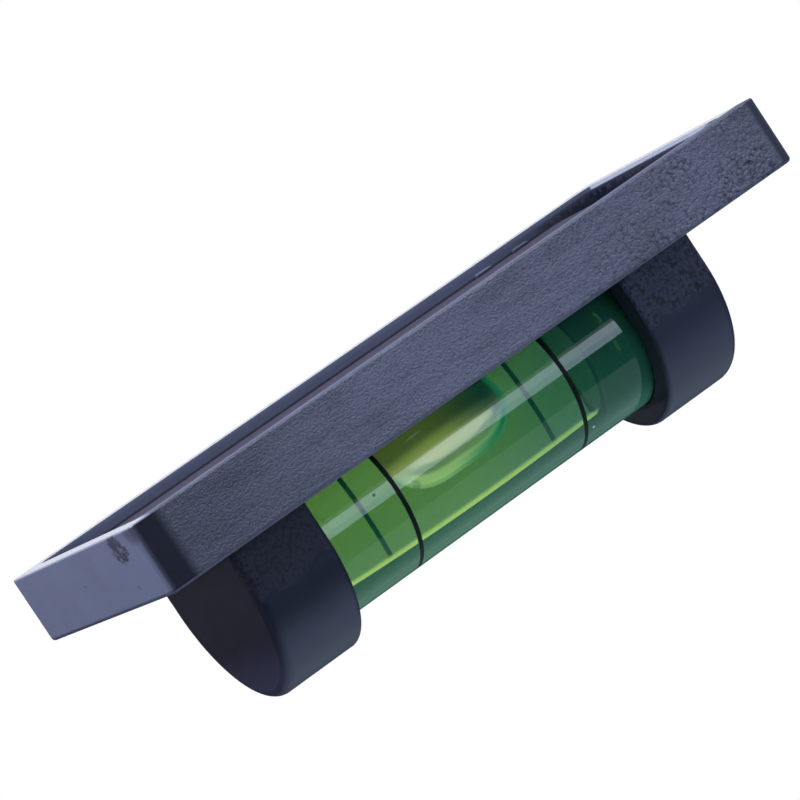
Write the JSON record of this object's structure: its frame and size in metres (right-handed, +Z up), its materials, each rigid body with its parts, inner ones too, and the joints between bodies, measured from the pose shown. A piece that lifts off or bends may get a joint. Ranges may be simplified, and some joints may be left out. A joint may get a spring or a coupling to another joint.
{
  "type": "magnetic spirit level",
  "caption": "Small magnetic spirit level: moulded housing with two round posts that hold a green barrel vial over a flat base with a sunk magnet strip.",
  "frame": {"origin": "middle of the base plate, on the plane of the contact face", "axes": "+X along the vial and the base plate's length, +Y across the base plate, +Z up from the contact face towards the posts' round tops; the side seen in the picture faces -Y"},
  "size_m": [0.0712, 0.0364, 0.0209],
  "materials": {
    "housing_plastic": "slate blue-grey moulded plastic, fine leather-like grain on the long sides and smooth satin on the ends",
    "magnet": "dark grey flexible magnet strip, matte",
    "clear_acrylic": "clear polished acrylic",
    "green_liquid": "clear yellow-green level liquid",
    "air": "air bubble, seen as a bright lens in the liquid",
    "ring_ink": "thin black bands filled into shallow grooves of the vial"
  },
  "bodies": {
    "level": {"housing": "housing_plastic", "magnet_strip": "magnet", "vial_barrel": "clear_acrylic", "vial_plug": "clear_acrylic", "ring_left": "ring_ink", "ring_right": "ring_ink"},
    "liquid": {"liquid": "green_liquid"},
    "bubble": {"bubble": "air"}
  },
  "joints": [
    {"name": "bubble_roll", "type": "hinge", "parent": "level", "child": "liquid", "pos_m": [0, 0, 0.0112], "axis": [1, 0, 0], "continuous": true},
    {"name": "bubble_travel", "type": "slide", "parent": "liquid", "child": "bubble", "axis": [1, 0, 0], "range_m": [-0.0079, 0.0084], "deforming": ["liquid"]}
  ]
}
